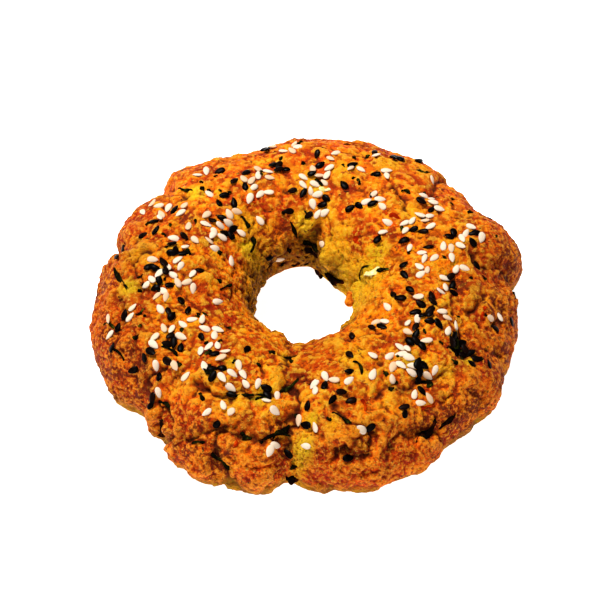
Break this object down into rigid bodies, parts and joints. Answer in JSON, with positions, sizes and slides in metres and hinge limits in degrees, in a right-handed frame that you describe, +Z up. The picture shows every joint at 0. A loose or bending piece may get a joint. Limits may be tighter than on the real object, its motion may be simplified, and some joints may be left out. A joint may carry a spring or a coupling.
{
  "type": "savoury bagel",
  "caption": "Hand-shaped baked bagel: a broad low ring of coarse orange-brown dough with an uneven edge, a hole through the middle and a flat underside to rest on.",
  "frame": {"origin": "middle of the bagel's box at the level of its flat underside", "axes": "+Z up through the hole, from the underside to the seeded top; +X towards the large lobe at the edge, which is the longest way across; -Y towards the folded side seen at the front"},
  "size_m": [0.1082, 0.1046, 0.0234],
  "materials": {
    "crust": "matt, coarse baked crumb"
  },
  "bodies": {
    "root": {"bagel": "crust"}
  },
  "joints": []
}
